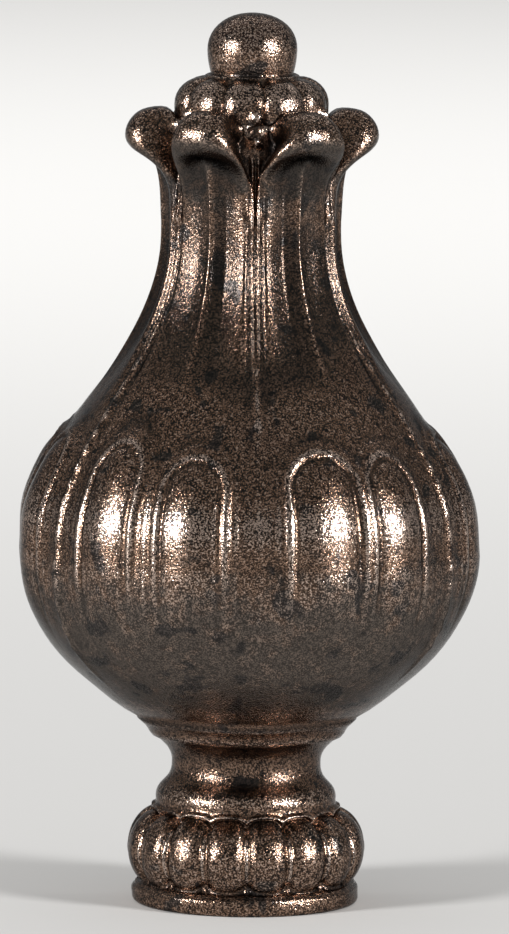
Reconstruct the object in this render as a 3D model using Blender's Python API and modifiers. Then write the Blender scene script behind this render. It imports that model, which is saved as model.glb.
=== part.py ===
# Cast metal lamp finial, 64 mm tall, cast in one piece. From the bottom: a flanged foot with
# gadroons, a ring, a scotia and a band, then a bulb with twelve arched lobes in six pairs. Six
# leaves run up the neck, each over its own pair, and curl outwards around a lobed collar that
# carries a flattened ball. A blind hole in the underside stands for the tapped one.

import bpy
import numpy as np

MM = 0.001

# Foot, from the underside up
FLANGE_RADIUS = 8.12 * MM
FLANGE_HEIGHT = 1.5 * MM
FLANGE_EDGE = 0.38 * MM
FLANGE_THROAT = 0.4 * MM
GADROON_RADIUS = 8.56 * MM
GADROON_HEIGHT = 5.3 * MM
GADROON_COUNT = 16
GADROON_GROOVE = 0.5 * MM
GADROON_TURN = -2.25
RING_RADIUS = 6.46 * MM
RING_HEIGHT = 1.9 * MM
SCOTIA_RADIUS = 5.3 * MM
SCOTIA_HEIGHT = 3.5 * MM
BAND_RADIUS = 7.05 * MM
BAND_HEIGHT = 1.3 * MM
BAND_SWELL = 0.25 * MM

# Bulb, shoulder and neck
BULB_SEAT_RADIUS = 7.82 * MM
BULB_RADIUS = 16.24 * MM
BULB_LOWER_HEIGHT = 11.8 * MM
SHOULDER_HEIGHT = 23.7 * MM
NECK_RADIUS = 6.18 * MM

# Lobes on the bulb, each framed by a raised bead with a groove inside it
LOBE_SPAN = 8.4
LOBE_OFFSET = 12.0
LOBE_SWELL = 0.55 * MM
BEAD_SWELL = 0.38 * MM
BEAD_WIDTH = 1.1 * MM
LOBE_GROOVE = 0.15 * MM

# Leaves and the seams between them
LEAF_COUNT = 6
LEAF_REACH = 9.05 * MM
CROWN_HEIGHT = 8.2 * MM
RIM_SWELL = 0.2 * MM
RIM_WIDTH = 1.5 * MM
SEAM_DEPTH = 0.48 * MM
SEAM_WIDTH = 0.75 * MM
FLUTE_DEPTH = 0.3 * MM
MIDRIB_SWELL = 0.14 * MM

# Collar and ball
COLLAR_RADIUS = 5.54 * MM
COLLAR_HEIGHT = 2.65 * MM
COLLAR_SINK = 0.4 * MM
COLLAR_COUNT = 10
COLLAR_GROOVE = 0.42 * MM
COLLAR_TURN = -9.75
BALL_RADIUS = 3.2 * MM
BALL_FOOT_RADIUS = 2.9 * MM
BALL_DROP = 1.9 * MM
BALL_RISE = 2.65 * MM

# Blind hole in the underside, the size of a tapped lamp thread
SOCKET_RADIUS = 3.2 * MM
SOCKET_DEPTH = 10.0 * MM
SOCKET_CHAMFER = 0.4 * MM
DRILL_POINT = 1.2 * MM
CUTTER_CLEARANCE = 1.0 * MM
SOCKET_STEPS = 48

# Heights of the joints between the mouldings
GADROON_FOOT = FLANGE_HEIGHT
GADROON_TOP = GADROON_FOOT + GADROON_HEIGHT
RING_TOP = GADROON_TOP + RING_HEIGHT
BAND_FOOT = RING_TOP + SCOTIA_HEIGHT
BULB_FOOT = BAND_FOOT + BAND_HEIGHT
BULB_WAIST = BULB_FOOT + BULB_LOWER_HEIGHT
NECK_TOP = BULB_WAIST + SHOULDER_HEIGHT
CROWN_TOP = NECK_TOP + CROWN_HEIGHT
COLLAR_FOOT = CROWN_TOP - COLLAR_SINK
COLLAR_TOP = COLLAR_FOOT + COLLAR_HEIGHT
BALL_WAIST = COLLAR_TOP + BALL_DROP
FINIAL_TOP = BALL_WAIST + BALL_RISE

# Free form of the foot's mouldings: tilts in degrees on a round moulding's section, and shares of
# each moulding's own height and swell
GADROON_TILTS = (-50, -16, 12, 38, 60, 80)
GADROON_MIDDLE_SHARE = 0.46
GADROON_DROP_SHARE = 0.56
GADROON_RISE_SHARE = 0.54
GADROON_ROUND_SHARE = 0.275
GROOVE_SINK_SHARE = 0.6
RIM_TOP_SHARE = 1.6
GROOVE_SHARPNESS_POWER = 0.75
RING_CURVE = [(0.1, 0.86), (0.35, 1), (0.62, 0.94), (0.85, 0.4)]
RING_ROUND_SHARE = 0.24
SCOTIA_CURVE = [(0.04, 0.26), (0.22, 0.05), (0.5, 0), (0.76, 0.24), (0.95, 0.74)]
BAND_CURVE = [(0.15, -0.2), (0.5, 0.9), (0.82, 1.9)]

# Free form of the bulb and the shoulder: shares of height against shares of radius, and how much
# steeper than its last stretch a curve is at its ends
BULB_CURVE = [(0, 0), (0.22, 0.44), (0.44, 0.752), (0.66, 0.925), (0.86, 0.992), (1, 1)]
SHOULDER_CURVE = [(0, 1), (0.16, 0.963), (0.31, 0.795), (0.45, 0.563), (0.6, 0.31),
                  (0.745, 0.118), (0.89, 0.017), (1, 0)]
END_SLOPE_SHARE = 1.4

# Places of the carving: shares of the bulb's lower height and of the shoulder's height, and of an
# arch's half width
LOBE_FADE_SHARE = 0.3
ARCH_FOOT_SHARE = 0.28
ARCH_RISE_SHARE = 0.09
LOBE_EDGE_SHARE = 0.78
LOBE_ROUND_POWER = 0.6
GROOVE_PLACE_SHARE = 0.76
GROOVE_SPREAD_SHARE = 0.12
LEAF_START_SHARE = 0.42
LEAF_FULL_SHARE = 0.78

# Places of the flutes and the midrib, as shares of a leaf's half width and of the flute's place
FLUTE_PLACE_SHARE = 0.27
FLUTE_SPREAD_SHARE = 0.55
MIDRIB_SPREAD_SHARE = 0.3
WIDEST_RELIEF_SHARE = 1.6

# Leaf from the neck to the collar: share of its reach, share of the crown's height, and the
# angle from its middle at which its side has fallen to the bottom of the notch
LEAF_CURVE = [(0.05, 0.26, 29.2), (0.21, 0.41, 27.8), (0.53, 0.525, 25.8), (0.84, 0.64, 23.2),
              (1, 0.79, 20.6), (0.9, 0.91, 19), (0.56, 0.985, 18.2), (-0.02, 1, 20)]
NOTCH_FOOT_SHARE = 0.2
LEAF_DOME_POWER = 3.0

# Free form of the collar and the ball
COLLAR_TILTS = (12, 40, 68)
COLLAR_MIDDLE_SHARE = 0.27
COLLAR_INNER_SHARE = 1.2
COLLAR_SEAT_SHARE = 0.5
BALL_TILTS = (2, 25, 47, 68)
BALL_FLATNESS_POWER = 0.9

# Degrees from a leaf's middle to its seam at which the loft has points, where they do most good
LEAF_HALF = 180 / LEAF_COUNT
ON_LOBES = np.array([0, 2.2, 4, 5.6, 7.6, 10.4, 13.6, 16.4, 18.4, 20, 22, 26, 30]) * LEAF_HALF / 30
ON_RIMS = np.array([0, 2.5, 5.5, 9, 13, 17, 20.5, 23.5, 26.2, 28.2, 30]) * LEAF_HALF / 30
ON_TIPS = np.array([0, 4, 8, 11.5, 14.5, 17, 19, 20.8, 25, 30]) * LEAF_HALF / 30

# Heights of the loft's sections: shares of the bulb's lower height, then of the shoulder's
PLAIN_SECTIONS = (0, 0.14, 0.34)
LOBED_SECTIONS = (0.56, 0.8)
ARCHED_SECTIONS = (0, 0.14, 0.25, 0.3, 0.335, 0.362, 0.395)
LEAFY_SECTIONS = (0.46, 0.54, 0.63, 0.74, 0.86, 1)

# Points around the plain turned mouldings, and over each lobe of the foot and the collar
FOOT_STEPS = 44
BULB_STEPS = 60
BALL_STEPS = 36
GADROON_STEPS = 6
COLLAR_STEPS = 8


def smooth_curve(shares, stations):
    """A cubic through the stations, with the slope at each one taken from its neighbours."""
    x, y = np.array(stations, float).T
    slope = np.gradient(y, x)
    slope[[0, -1]] = np.diff(y)[[0, -1]] / np.diff(x)[[0, -1]] * END_SLOPE_SHARE
    if y[-1] in (0, 1):
        slope[-1] = 0
    i = np.clip(np.searchsorted(x, shares, side="right") - 1, 0, len(x) - 2)
    width = x[i + 1] - x[i]
    t = (shares - x[i]) / width
    start = (1 + 2 * t) * (1 - t) ** 2 * y[i] + t * (1 - t) ** 2 * width * slope[i]
    end = t * t * (3 - 2 * t) * y[i + 1] + t * t * (t - 1) * width * slope[i + 1]
    return start + end


def fade(value, start, end):
    """0 at start, 1 at end, with a soft rise between."""
    t = np.clip((value - start) / (end - start), 0, 1)
    return t * t * (3 - 2 * t)


def around_leaves(half):
    """The angles of a ring, from the ones between a leaf's middle and its seam."""
    leaf = np.concatenate([half, 2 * LEAF_HALF - half[-2:0:-1]])
    return np.concatenate([leaf + 2 * LEAF_HALF * number for number in range(LEAF_COUNT)])


def around(steps, turn=0):
    """The angles of an even ring, turned."""
    return np.sort((np.linspace(0, 360, steps, endpoint=False) + turn) % 360)


def from_middle(angle):
    """Degrees between an angle and the middle of the nearest leaf."""
    return np.abs((angle + LEAF_HALF) % (2 * LEAF_HALF) - LEAF_HALF)


def scallop(angle, count):
    """0 on each groove and 1 over each lobe, round on top and sharp in the groove."""
    return np.abs(np.sin(np.radians(angle * count / 2))) ** GROOVE_SHARPNESS_POWER


def section(angle, radius, height):
    """One closed section of the loft: its angles, and its points. Radius and height may change with
    the angle."""
    turn = np.radians(angle)
    height = height + np.zeros(len(angle))
    return angle, np.column_stack([radius * np.cos(turn), radius * np.sin(turn), height])


def foot_flange():
    """A flat disc with a rounded rim and a throat above it."""
    angle = around(FOOT_STEPS)
    low = section(angle, FLANGE_RADIUS - FLANGE_EDGE, 0)
    rim_foot = section(angle, FLANGE_RADIUS, FLANGE_EDGE)
    rim_top = section(angle, FLANGE_RADIUS, FLANGE_HEIGHT - RIM_TOP_SHARE * FLANGE_EDGE)
    throat = section(angle, FLANGE_RADIUS - FLANGE_THROAT, FLANGE_HEIGHT)
    return [low, rim_foot, rim_top, throat]


def gadroons():
    """A round moulding cut into lobes, narrower at the top, with the grooves dying away at its ends."""
    angle = around(GADROON_COUNT * GADROON_STEPS, GADROON_TURN)
    lobe = scallop(angle - GADROON_TURN, GADROON_COUNT)
    groove = GADROON_GROOVE * (1 - lobe)
    middle = GADROON_FOOT + GADROON_MIDDLE_SHARE * GADROON_HEIGHT
    rings = []
    for tilt in GADROON_TILTS:
        out = np.cos(np.radians(tilt))
        up = np.sin(np.radians(tilt))
        radius = GADROON_RADIUS * (1 - GADROON_ROUND_SHARE * (1 - out)) - groove * out
        reach = (GADROON_RISE_SHARE if up > 0 else GADROON_DROP_SHARE) * GADROON_HEIGHT
        rings.append(section(angle, radius, middle + (reach - GROOVE_SINK_SHARE * groove) * up))
    return rings


def ring_moulding():
    """A plain half-round ring."""
    rings = []
    for share, swell in RING_CURVE:
        radius = RING_RADIUS - RING_ROUND_SHARE * RING_HEIGHT * (1 - swell)
        rings.append(section(around(FOOT_STEPS), radius, GADROON_TOP + share * RING_HEIGHT))
    return rings


def scotia():
    """The hollow neck of the foot, flaring up to the band."""
    rings = []
    for share, flare in SCOTIA_CURVE:
        radius = SCOTIA_RADIUS + (BAND_RADIUS - SCOTIA_RADIUS) * flare
        rings.append(section(around(FOOT_STEPS), radius, RING_TOP + share * SCOTIA_HEIGHT))
    return rings


def band():
    """A thin swelling band under the bulb."""
    rings = []
    for share, swell in BAND_CURVE:
        radius = BAND_RADIUS + BAND_SWELL * swell
        rings.append(section(around(FOOT_STEPS), radius, BAND_FOOT + share * BAND_HEIGHT))
    return rings


def body_radius(height):
    """The radius of the plain bulb, shoulder and neck at a height."""
    lower = (height - BULB_FOOT) / BULB_LOWER_HEIGHT
    upper = (height - BULB_WAIST) / SHOULDER_HEIGHT
    if lower < 1:
        return BULB_SEAT_RADIUS + (BULB_RADIUS - BULB_SEAT_RADIUS) * smooth_curve(lower, BULB_CURVE)
    return NECK_RADIUS + (BULB_RADIUS - NECK_RADIUS) * smooth_curve(min(upper, 1), SHOULDER_CURVE)


def lobe_relief(angle, height):
    """An arched lobe either side of a leaf's middle: a swelling inside a bead, fading out below."""
    radius = body_radius(height)
    across = (from_middle(angle) - LOBE_OFFSET * LEAF_HALF / 30) / LOBE_SPAN
    above_foot = max(0, height - BULB_WAIST - ARCH_FOOT_SHARE * SHOULDER_HEIGHT)
    out = np.hypot(across, above_foot / (ARCH_RISE_SHARE * SHOULDER_HEIGHT))
    bead_half = BEAD_WIDTH / 2 / (radius * np.radians(LOBE_SPAN))
    bead = BEAD_SWELL * np.exp(-(((out - 1) / bead_half) ** 2))
    groove = LOBE_GROOVE * np.exp(-(((out - GROOVE_PLACE_SHARE) / GROOVE_SPREAD_SHARE) ** 2))
    lobe = LOBE_SWELL * np.clip(1 - (out / LOBE_EDGE_SHARE) ** 2, 0, 1) ** LOBE_ROUND_POWER
    return (bead + lobe - groove) * fade(height, BULB_FOOT + LOBE_FADE_SHARE * BULB_LOWER_HEIGHT, BULB_WAIST)


def leaf_relief(angle, height):
    """Two flutes and a midrib on each leaf, a rim along its sides, and the sunk seam between rims."""
    radius = min(body_radius(height), WIDEST_RELIEF_SHARE * NECK_RADIUS)
    middle = from_middle(angle)
    to_seam = radius * np.radians(LEAF_HALF - middle)
    flute_at = FLUTE_PLACE_SHARE * LEAF_HALF
    flute = np.exp(-(((middle - flute_at) / (FLUTE_SPREAD_SHARE * flute_at)) ** 2))
    midrib = np.exp(-((middle / (MIDRIB_SPREAD_SHARE * flute_at)) ** 2))
    rim = np.exp(-(((to_seam - RIM_WIDTH / 1.6) / (RIM_WIDTH / 2)) ** 2))
    seam = np.exp(-((to_seam / (SEAM_WIDTH / 2)) ** 2))
    leaf = MIDRIB_SWELL * midrib - FLUTE_DEPTH * flute + RIM_SWELL * rim - SEAM_DEPTH * seam
    return leaf * fade((height - BULB_WAIST) / SHOULDER_HEIGHT, LEAF_START_SHARE, LEAF_FULL_SHARE)


def bulb_and_neck():
    """The plain body carved with the lobes, and with the leaves' flutes and seams above them."""
    levels = [(BULB_FOOT + share * BULB_LOWER_HEIGHT, around(BULB_STEPS)) for share in PLAIN_SECTIONS]
    lobed = around_leaves(ON_LOBES)
    levels += [(BULB_FOOT + share * BULB_LOWER_HEIGHT, lobed) for share in LOBED_SECTIONS]
    levels += [(BULB_WAIST + share * SHOULDER_HEIGHT, lobed) for share in ARCHED_SECTIONS]
    levels += [(BULB_WAIST + share * SHOULDER_HEIGHT, around_leaves(ON_RIMS)) for share in LEAFY_SECTIONS]
    step = BULB_LOWER_HEIGHT / 100
    rings = []
    for height, angle in levels:
        slope = (body_radius(height + step) - body_radius(height)) / step
        out = 1 / np.hypot(1, slope)
        relief = lobe_relief(angle, height) + leaf_relief(angle, height)
        radius = body_radius(height) + relief * out
        rings.append(section(angle, radius, height - relief * slope * out))
    return rings


def leaf_tips():
    """Each leaf's end curls out and over to the collar, and the notches between stay near the neck."""
    collar_seat = COLLAR_RADIUS - COLLAR_SEAT_SHARE * COLLAR_GROOVE
    rings = []
    for number, (reach, rise, side) in enumerate(LEAF_CURVE):
        share = (number + 1) / (len(LEAF_CURVE) + 1)
        angle = around_leaves(ON_RIMS if number < 2 else ON_TIPS)
        across = from_middle(angle) / (side * LEAF_HALF / 30)
        dome = np.sqrt(np.clip(1 - across**LEAF_DOME_POWER, 0, 1))
        leaf_radius = NECK_RADIUS + (LEAF_REACH - NECK_RADIUS) * reach
        notch_radius = NECK_RADIUS - SEAM_DEPTH * (1 - share)
        notch_radius += (collar_seat - NECK_RADIUS) * share
        notch_rise = NOTCH_FOOT_SHARE + (1 - COLLAR_SINK / CROWN_HEIGHT - NOTCH_FOOT_SHARE) * share
        radius = notch_radius + (leaf_radius - notch_radius) * dome
        height = NECK_TOP + CROWN_HEIGHT * (notch_rise + (rise - notch_rise) * dome)
        hollow = leaf_relief(angle, NECK_TOP) * (1 - fade(number, 1, 4)) * (dome > 0)
        rings.append(section(angle, radius + hollow, height))
    rings.append(section(around(COLLAR_COUNT * COLLAR_STEPS, COLLAR_TURN), collar_seat, COLLAR_FOOT))
    return rings


def collar():
    """A lobed quarter-round, from its widest to the foot of the ball."""
    angle = around(COLLAR_COUNT * COLLAR_STEPS, COLLAR_TURN)
    lobe = scallop(angle - COLLAR_TURN, COLLAR_COUNT)
    groove = COLLAR_GROOVE * (1 - lobe)
    inner = COLLAR_INNER_SHARE * BALL_FOOT_RADIUS
    middle = COLLAR_FOOT + COLLAR_MIDDLE_SHARE * COLLAR_HEIGHT
    rings = []
    for tilt in COLLAR_TILTS:
        out = np.cos(np.radians(tilt))
        up = np.sin(np.radians(tilt))
        radius = inner + (COLLAR_RADIUS - inner - groove) * out
        rings.append(section(angle, radius, middle + (COLLAR_TOP - middle - groove) * up))
    return rings


def ball():
    """A flattened ball: an elliptical foot below its widest, and a lower ellipse above."""
    below = BALL_DROP / np.sqrt(1 - (BALL_FOOT_RADIUS / BALL_RADIUS) ** 2)
    half_drop = BALL_DROP / 2
    half_radius = BALL_RADIUS * np.sqrt(1 - (half_drop / below) ** 2)
    angle = around(BALL_STEPS)
    rings = [section(angle, BALL_FOOT_RADIUS, COLLAR_TOP)]
    rings.append(section(angle, half_radius, COLLAR_TOP + half_drop))
    for tilt in BALL_TILTS:
        radius = BALL_RADIUS * np.cos(np.radians(tilt)) ** BALL_FLATNESS_POWER
        rings.append(section(angle, radius, BALL_WAIST + BALL_RISE * np.sin(np.radians(tilt))))
    return rings


def join_rings(low_angle, low, high_angle, high):
    """Triangles between two rings that may have unlike numbers of points: each goes on to whichever
    next point comes first around."""
    faces = []
    at_low = at_high = 0
    low_next = np.append(low_angle[1:], low_angle[0] + 360)
    high_next = np.append(high_angle[1:], high_angle[0] + 360)
    while at_low < len(low) or at_high < len(high):
        a = low[at_low % len(low)]
        b = high[at_high % len(high)]
        low_is_next = at_high == len(high) or (
            at_low < len(low) and low_next[at_low] <= high_next[at_high])
        if low_is_next:
            at_low += 1
            faces.append((a, low[at_low % len(low)], b))
        else:
            at_high += 1
            faces.append((a, high[at_high % len(high)], b))
    return faces


def loft(name, rings, top):
    """A closed body through the rings: a flat underside, triangles between rings, a fan at the top."""
    points = np.concatenate([ring for _, ring in rings] + [[(0, 0, top)]])
    ends = np.cumsum([0] + [len(angle) for angle, _ in rings]).tolist()
    numbers = [range(start, end) for start, end in zip(ends, ends[1:])]
    faces = [tuple(reversed(numbers[0]))]
    for level in range(len(rings) - 1):
        low_angle, high_angle = rings[level][0], rings[level + 1][0]
        faces += join_rings(low_angle, numbers[level], high_angle, numbers[level + 1])
    last = numbers[-1]
    for step, number in enumerate(last):
        faces.append((number, last[(step + 1) % len(last)], len(points) - 1))
    mesh = bpy.data.meshes.new(name)
    mesh.from_pydata(points.tolist(), [], faces)
    mesh.shade_smooth()
    return bpy.data.objects.new(name, mesh)


def socket_cutter():
    """The drill's form: a turned profile from its point down past the underside."""
    mouth = SOCKET_RADIUS + SOCKET_CHAMFER
    profile = [(0, SOCKET_DEPTH + DRILL_POINT), (SOCKET_RADIUS, SOCKET_DEPTH),
               (SOCKET_RADIUS, SOCKET_CHAMFER), (mouth, 0), (mouth, -CUTTER_CLEARANCE),
               (0, -CUTTER_CLEARANCE)]
    mesh = bpy.data.meshes.new("socket_cutter")
    edges = [(number, number + 1) for number in range(len(profile) - 1)]
    mesh.from_pydata([(radius, 0, height) for radius, height in profile], edges, [])
    cutter = bpy.data.objects.new("socket_cutter", mesh)
    screw = cutter.modifiers.new("turned", "SCREW")
    screw.steps = SOCKET_STEPS
    screw.render_steps = SOCKET_STEPS
    screw.use_merge_vertices = True
    screw.merge_threshold = 0.00001
    cutter.hide_render = True
    cutter.display_type = "WIRE"
    return cutter


def antique_bronze():
    """Dark brown bronze patina, rubbed to copper on the high parts."""
    material = bpy.data.materials.new("antique_bronze")
    material.use_nodes = True
    shader = material.node_tree.nodes["Principled BSDF"]
    shader.inputs["Base Color"].default_value = (0.115, 0.066, 0.043, 1)
    shader.inputs["Metallic"].default_value = 0.9
    shader.inputs["Roughness"].default_value = 0.34
    return material


def collection(name):
    made = bpy.data.collections.new(name)
    bpy.context.scene.collection.children.link(made)
    return made


for leftover in list(bpy.data.objects):
    bpy.data.objects.remove(leftover)

sections = foot_flange() + gadroons() + ring_moulding() + scotia() + band() + bulb_and_neck()
sections += leaf_tips() + collar() + ball()
finial = loft("finial_casting", sections, FINIAL_TOP)
finial.data.materials.append(antique_bronze())
collection("cast_finial").objects.link(finial)

drill = socket_cutter()
collection("cutters").objects.link(drill)
hole = finial.modifiers.new("socket", "BOOLEAN")
hole.operation = "DIFFERENCE"
hole.object = drill
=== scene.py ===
# Looks of a small cast lamp finial: one casting in oil-rubbed bronze, on a sheet of pale paper.
# Lengths are in millimetres until a mesh is made, and angles in degrees. The seam between two leaves
# that faces the viewer is at 270 degrees, which is towards -Y.

import math

import bpy
import numpy as np
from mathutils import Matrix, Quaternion, Vector


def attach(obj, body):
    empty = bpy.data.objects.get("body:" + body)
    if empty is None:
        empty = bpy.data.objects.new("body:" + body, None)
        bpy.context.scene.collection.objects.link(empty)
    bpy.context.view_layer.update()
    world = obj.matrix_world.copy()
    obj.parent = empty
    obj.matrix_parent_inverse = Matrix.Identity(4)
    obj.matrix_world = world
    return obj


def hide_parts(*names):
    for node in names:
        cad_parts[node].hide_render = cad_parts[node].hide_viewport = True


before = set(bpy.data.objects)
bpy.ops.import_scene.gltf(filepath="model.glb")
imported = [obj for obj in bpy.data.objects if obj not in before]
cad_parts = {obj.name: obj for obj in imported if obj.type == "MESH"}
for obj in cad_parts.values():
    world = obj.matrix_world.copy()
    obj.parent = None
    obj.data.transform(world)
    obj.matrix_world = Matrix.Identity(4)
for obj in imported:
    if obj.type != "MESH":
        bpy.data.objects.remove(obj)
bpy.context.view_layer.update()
mm = 0.001
leafCount = 6
leafHalf = 180 / leafCount
# a multiple of the 6 leaves, the 16 gadroons and the 10 collar lobes; with the rows that the blocks
# have together, the casting stays under 200,000 triangles
columns = 480
columnStep = 360 / columns
evenAngles = -leafHalf + columnStep * np.arange(columns)[None, :]
endSteepness = 1.4  # a curve's slope at its ends, over that of the line to the next station


def smoothCurve(share, stations):
    # a cubic through the stations, each with the slope of its neighbours, flat where it ends at 0 or 1
    x, y = np.array(stations, float).T
    slope = np.gradient(y, x)
    slope[[0, -1]] = np.diff(y)[[0, -1]] / np.diff(x)[[0, -1]] * endSteepness
    if y[-1] in (0, 1):
        slope[-1] = 0
    share = np.asarray(share, float)
    i = np.clip(np.searchsorted(x, share, side="right") - 1, 0, len(x) - 2)
    width = x[i + 1] - x[i]
    t = (share - x[i]) / width
    start = (1 + 2 * t) * (1 - t) ** 2 * y[i] + t * (1 - t) ** 2 * width * slope[i]
    end = t * t * (3 - 2 * t) * y[i + 1] + t * t * (t - 1) * width * slope[i + 1]
    return start + end


def fade(value, start, end):
    # 0 at start, 1 at end, with a soft rise between
    t = np.clip((value - start) / (end - start), 0, 1)
    return t * t * (3 - 2 * t)


def bell(value, middle, half):
    # a smooth bump, 1 in the middle and 1/e at half away from it
    return np.exp(-(((value - middle) / half) ** 2))


def fromMiddle(angle):
    # degrees from the nearest leaf's middle, signed
    return (angle + leafHalf) % (2 * leafHalf) - leafHalf


def leafOf(angle):
    # the number of the leaf that an angle is on, from +X round
    return ((angle + leafHalf) // (2 * leafHalf)).astype(int) % leafCount


def pillow(angle, turn, count, sharpness):
    # 0 in each groove and 1 over each lobe: one less the distance from the lobe's middle to a power
    across = ((angle - turn) * count / 360) % 1 * 2 - 1
    return 1 - np.abs(across) ** sharpness


def band(angle, radius, height):
    # one block of the casting's grid, its three arrays brought to the same size
    return [np.array(part) for part in np.broadcast_arrays(angle, radius, height)]


def column(*values):
    # one value for each row of the grid
    return np.array(values, float)[:, None]


foot = {
    "flangeRadius": 8.12, "flangeHeight": 1.5, "flangeEdge": 0.38, "flangeThroat": 0.4,
    # the flange's unevenness: its depth, and the count and start of each wave round it
    "flangeWave": 0.065, "flangeWaves": [(8, 40), (5, -70)],
    "gadroonRadius": 8.56, "gadroonHeight": 5.3, "gadroonCount": 16, "gadroonGroove": 0.62,
    "gadroonTurn": -2.25, "gadroonSharpness": 3.3, "filletSwell": 0.56, "filletWidth": 0.3,
    # shares of the gadroons' height: where they are widest, and their reach below and above that
    "gadroonMiddle": 0.46, "gadroonReach": (0.56, 0.54),
    "gadroonNarrowing": 0.275,  # share of the radius that is gone at their ends
    "gadroonScallop": (1.3, 1.05),  # how far their ends rise in the grooves, below and above
    # the ring, the scotia and the band in one profile: height over the gadroons, radius
    "profile": [(0.02, 6.5), (0.15, 6.84), (0.33, 6.5), (0.52, 6.44), (0.95, 6.44), (1.35, 6.32),
                (1.65, 6.12), (1.95, 5.82),
                (2.3, 5.53), (2.7, 5.36), (3.3, 5.3), (3.8, 5.35), (4.2, 5.52), (4.55, 5.76),
                (4.85, 6.07), (5.12, 6.44), (5.34, 6.84), (5.6, 7.04), (5.9, 7.21), (6.15, 7.42),
                (6.35, 7.68), (6.5, 7.84)],
    # fine lines in it: height over the gadroons, depth and half width
    "lines": [(5.16, 0.1, 0.11), (6.52, 0.14, 0.14)],
    "profileHeight": 6.7, "profileDip": 0.42, "dipHeight": 0.7,
}
gadroonFoot = foot["flangeHeight"]
gadroonTop = gadroonFoot + foot["gadroonHeight"]
bulbFoot = gadroonTop + foot["profileHeight"]

socket = {"radius": 3.2, "depth": 10.0, "chamfer": 0.4, "drillPoint": 1.2, "ringMiddle": 5.6}


def underside():
    # the drilled hole from its point down to its mouth, then the flat ring around it; rows a few
    # hundredths of a millimetre apart keep its edges sharp
    deep, bore, chamfer = socket["depth"], socket["radius"], socket["chamfer"]
    mouth = bore + chamfer
    rows = [(bore / 2, deep + socket["drillPoint"] / 2), (bore - 0.03, deep + 0.02), (bore, deep - 0.05),
            (bore, deep / 2), (bore, chamfer + 0.05), (bore + 0.02, chamfer - 0.02),
            (mouth - 0.03, 0.03), (mouth + 0.05, 0), (socket["ringMiddle"], 0),
            (foot["flangeRadius"] - foot["flangeEdge"] - 0.06, 0)]
    radius, height = np.array(rows).T[:, :, None]
    return band(evenAngles, radius, height)


def footFlange():
    # a disc whose rim is a quarter round below and above, slightly wavy, and a short throat over it
    edge, top = foot["flangeEdge"], foot["flangeHeight"]
    tilt = np.radians(column(-84, -60, -35, -12, 0, 22, 45, 68))
    shoulder = 1.35 * edge  # how far below the top the upper round starts
    radius = foot["flangeRadius"] - edge * (1 - np.cos(tilt))
    height = np.where(tilt < 0, edge * (1 + np.sin(tilt)), top - shoulder + edge * np.sin(tilt))
    wave = sum(np.sin(np.radians(evenAngles * count + start)) for count, start in foot["flangeWaves"])
    throat, throatRise = column(0.7, 0.97), 0.12 * edge
    radius = np.vstack([radius, foot["flangeRadius"] - foot["flangeThroat"] * throat])
    height = np.vstack([height, top - throatRise + throatRise * throat])
    return band(evenAngles, radius + foot["flangeWave"] * wave * fade(height, 0, top / 2), height)


def gadroonPillow():
    # 0 in each groove of the foot and 1 over each gadroon
    return pillow(evenAngles, foot["gadroonTurn"], foot["gadroonCount"], foot["gadroonSharpness"])


def gadroonFillets():
    # the fine raised line in each groove between two gadroons: 1 on it, a bell of the distance from it
    lobe = gadroonPillow()
    lobeHalf = math.pi * foot["gadroonRadius"] / foot["gadroonCount"]
    fromGroove = (1 - (1 - lobe) ** (1 / foot["gadroonSharpness"])) * lobeHalf
    return bell(fromGroove, 0, foot["filletWidth"] / 2)


def gadroons():
    # a round moulding of flat-topped lobes, an arc from foot to top, scalloped at both of its ends
    lobe = gadroonPillow()
    groove = foot["gadroonGroove"] * (1 - lobe) - foot["filletSwell"] * gadroonFillets()
    middle = gadroonFoot + foot["gadroonMiddle"] * foot["gadroonHeight"]
    tilt = np.radians(column(*np.linspace(-52, 84, 23)))
    out, up = np.cos(tilt), np.sin(tilt)
    below, above = foot["gadroonReach"]
    scallopBelow, scallopAbove = foot["gadroonScallop"]
    radius = foot["gadroonRadius"] * (1 - foot["gadroonNarrowing"] * (1 - out)) - groove * out
    reach = np.where(up > 0, above, below) * foot["gadroonHeight"]
    scallop = foot["gadroonGroove"] * (1 - lobe) * up * np.where(up > 0, scallopAbove, scallopBelow)
    return band(evenAngles, radius, middle + reach * up - scallop)


def footProfile():
    # a turned profile: a cubic through its stations, with the fine lines cut into it; its foot dips
    # into the gadroons' grooves, and the rows are closest there
    lowest, highest = foot["profile"][0][0], foot["profile"][-1][0]
    rise = column(*np.linspace(lowest, 0.5, 6), *np.linspace(0.62, highest + 0.08, 25))
    radius = smoothCurve(rise, foot["profile"])
    for at, depth, half in foot["lines"]:
        radius = radius - depth * bell(rise, at, half)
    lobe = gadroonPillow()
    dip = foot["profileDip"] * (1 - lobe) * fade(rise, foot["dipHeight"], 0)
    return band(evenAngles, radius, gadroonTop + rise - dip)


bulb = {
    "seatRadius": 7.82, "radius": 16.14, "lowerHeight": 11.8, "shoulderHeight": 23.7,
    "neckRadius": 6.18,
    # shares of height against shares of radius
    "curve": [(0, 0), (0.22, 0.44), (0.44, 0.752), (0.66, 0.925), (0.86, 0.992), (1, 1)],
    "shoulderCurve": [(0, 1), (0.16, 0.963), (0.31, 0.795), (0.45, 0.563), (0.6, 0.31),
                      (0.745, 0.118), (0.89, 0.017), (1, 0)],
}
bulbWaist = bulbFoot + bulb["lowerHeight"]
neckTop = bulbWaist + bulb["shoulderHeight"]

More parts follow.
